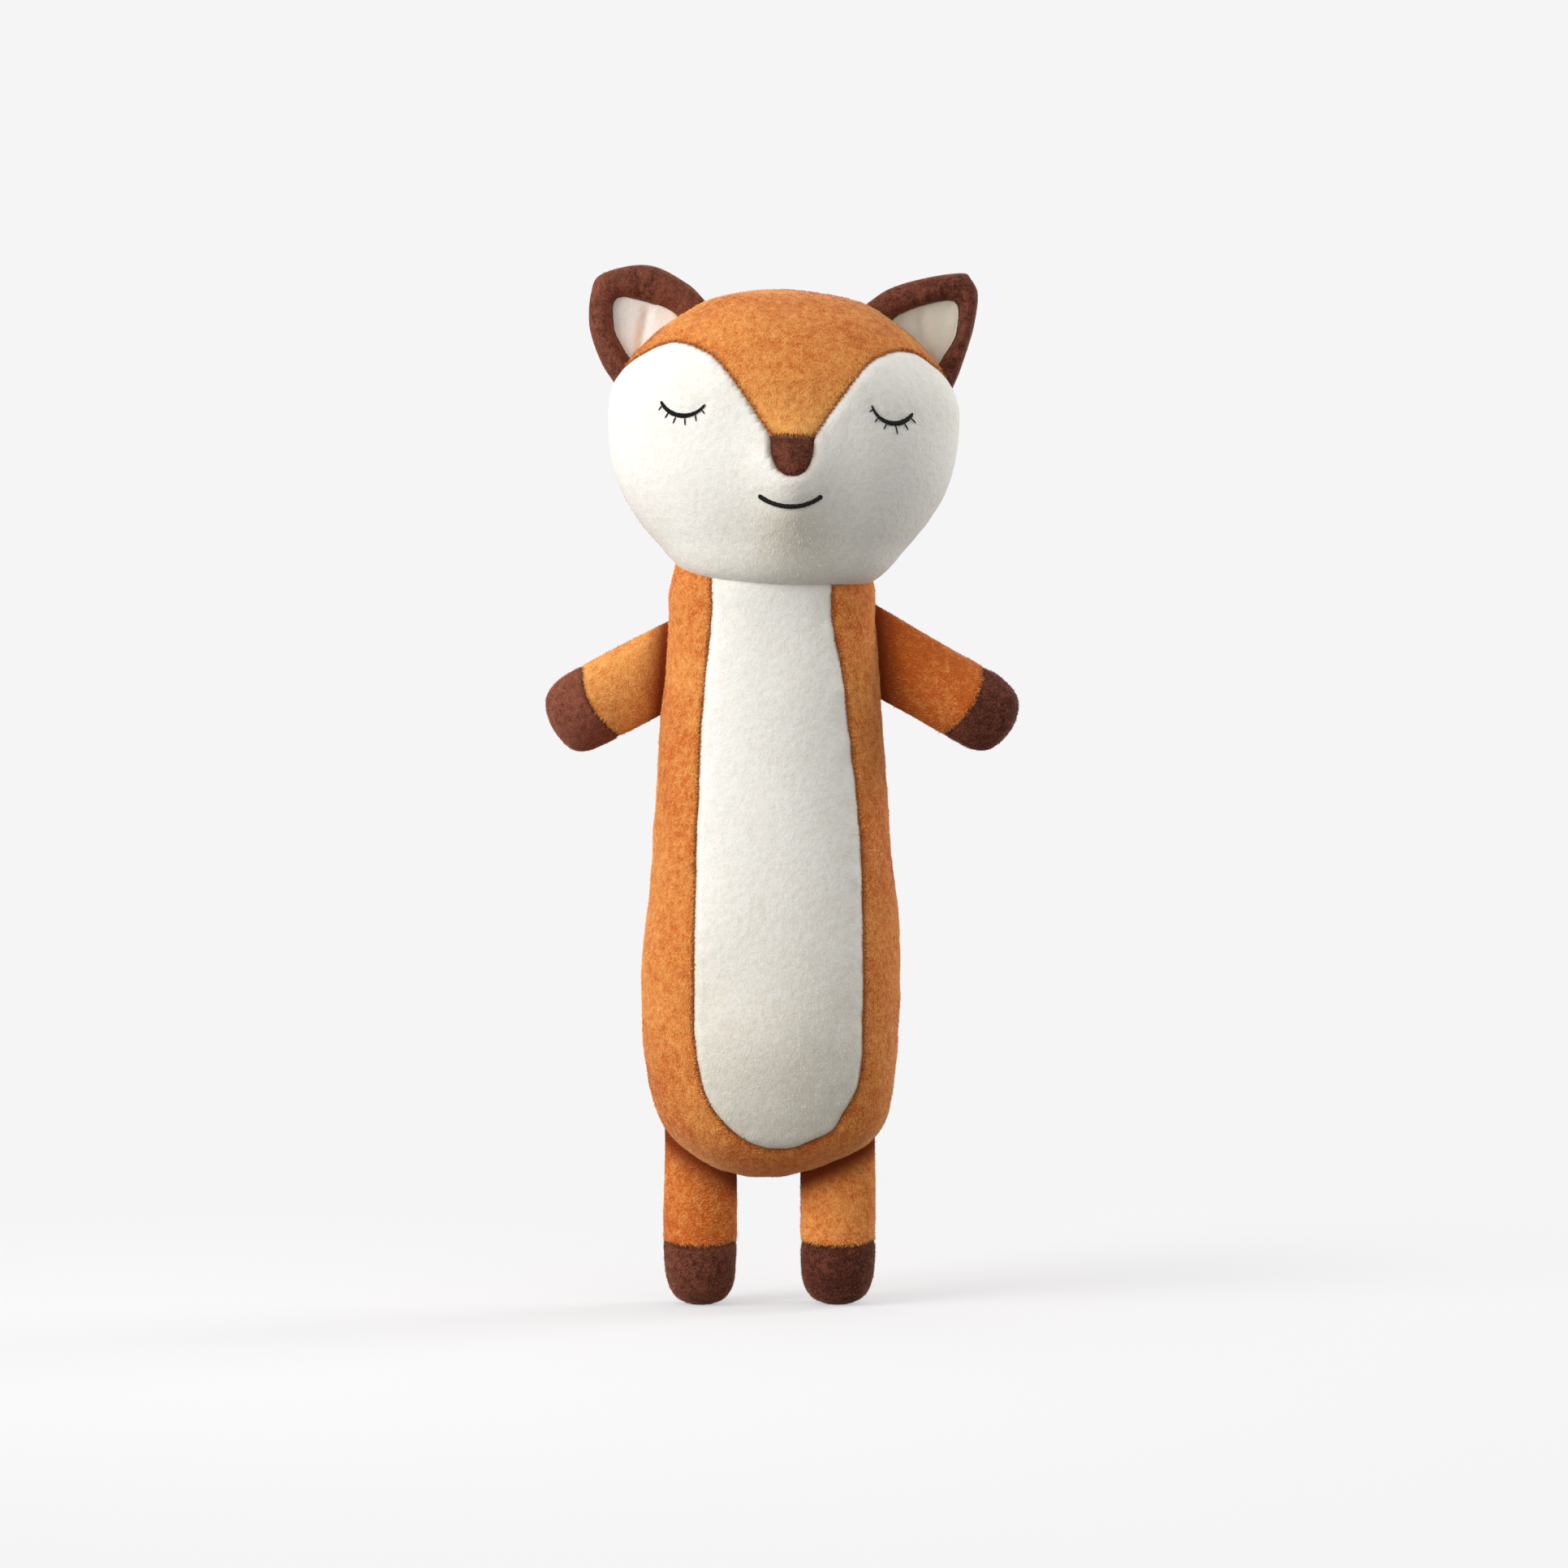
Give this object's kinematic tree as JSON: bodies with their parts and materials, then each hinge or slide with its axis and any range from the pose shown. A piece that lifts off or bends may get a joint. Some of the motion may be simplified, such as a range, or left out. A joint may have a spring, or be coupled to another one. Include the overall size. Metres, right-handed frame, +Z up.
{
  "type": "plush fox",
  "caption": "Standing sleepy plush fox with a long stuffed body, round head, sewn-on ears, arms and legs that fold at their seams, and embroidered closed eyes and smile.",
  "frame": {"origin": "on the floor under the toy, in the middle of its bounding box", "axes": "+Z up through the head, -Y out of the face, +X to the viewer's right as the face is looked at"},
  "size_m": [0.1601, 0.0881, 0.3588],
  "materials": {
    "orange_plush": "short-pile plush, mottled nap",
    "white_plush": "short-pile plush, soft cream white",
    "brown_plush": "short-pile plush, dark brown",
    "black_thread": "satin-stitched embroidery thread",
    "filling": "loose white fibre filling"
  },
  "bodies": {
    "torso": {"belly_panel": "white_plush", "torso_front_panel": "orange_plush", "torso_back_left_panel": "orange_plush", "torso_back_right_panel": "orange_plush", "torso_stuffing": "filling"},
    "head": {"crown_panel": "orange_plush", "face_panel": "white_plush", "nose_patch": "brown_plush", "head_back_left_panel": "orange_plush", "head_back_right_panel": "orange_plush", "head_stuffing": "filling", "mouth_stitching": "black_thread", "left_eye_stitching": "black_thread", "right_eye_stitching": "black_thread"},
    "left_ear": {"left_ear_back": "brown_plush", "left_ear_lining": "white_plush"},
    "right_ear": {"right_ear_back": "brown_plush", "right_ear_lining": "white_plush"},
    "left_arm": {"left_arm_sleeve": "orange_plush", "left_arm_paw": "brown_plush", "left_arm_stuffing": "filling"},
    "right_arm": {"right_arm_sleeve": "orange_plush", "right_arm_paw": "brown_plush", "right_arm_stuffing": "filling"},
    "left_leg": {"left_leg_sleeve": "orange_plush", "left_leg_foot": "brown_plush", "left_leg_stuffing": "filling"},
    "right_leg": {"right_leg_sleeve": "orange_plush", "right_leg_foot": "brown_plush", "right_leg_stuffing": "filling"}
  },
  "joints": [
    {"name": "neck_nod", "type": "hinge", "parent": "torso", "child": "head", "pos_m": [-0.0038, 0, 0.2482], "axis": [1, 0, 0], "range_deg": [-15, 15], "stiffness_Nm_per_rad": 0.3},
    {"name": "left_ear_fold", "type": "hinge", "parent": "head", "child": "left_ear", "pos_m": [-0.04494, -0.00321, 0.3349], "axis": [0.7401, 0.0505, 0.6706], "range_deg": [-20, 20], "stiffness_Nm_per_rad": 0.02},
    {"name": "right_ear_fold", "type": "hinge", "parent": "head", "child": "right_ear", "pos_m": [0.04565, 0.00313, 0.33367], "axis": [0.7273, 0.0521, -0.6843], "range_deg": [-20, 20], "stiffness_Nm_per_rad": 0.02},
    {"name": "left_shoulder_swing", "type": "hinge", "parent": "torso", "child": "left_arm", "pos_m": [-0.04084, 0, 0.22062], "axis": [0.0807, 0, 0.9967], "range_deg": [-60, 60], "stiffness_Nm_per_rad": 0.02},
    {"name": "right_shoulder_swing", "type": "hinge", "parent": "torso", "child": "right_arm", "pos_m": [0.03277, 0, 0.22607], "axis": [0.0713, 0, -0.9975], "range_deg": [-60, 60], "stiffness_Nm_per_rad": 0.02},
    {"name": "left_hip_swing", "type": "hinge", "parent": "torso", "child": "left_leg", "pos_m": [-0.02886, 0, 0.05068], "axis": [-0.8422, 0, 0.5391], "range_deg": [-45, 60], "stiffness_Nm_per_rad": 0.05},
    {"name": "right_hip_swing", "type": "hinge", "parent": "torso", "child": "right_leg", "pos_m": [0.01918, 0, 0.04962], "axis": [-0.8897, 0, -0.4566], "range_deg": [-45, 60], "stiffness_Nm_per_rad": 0.05}
  ]
}
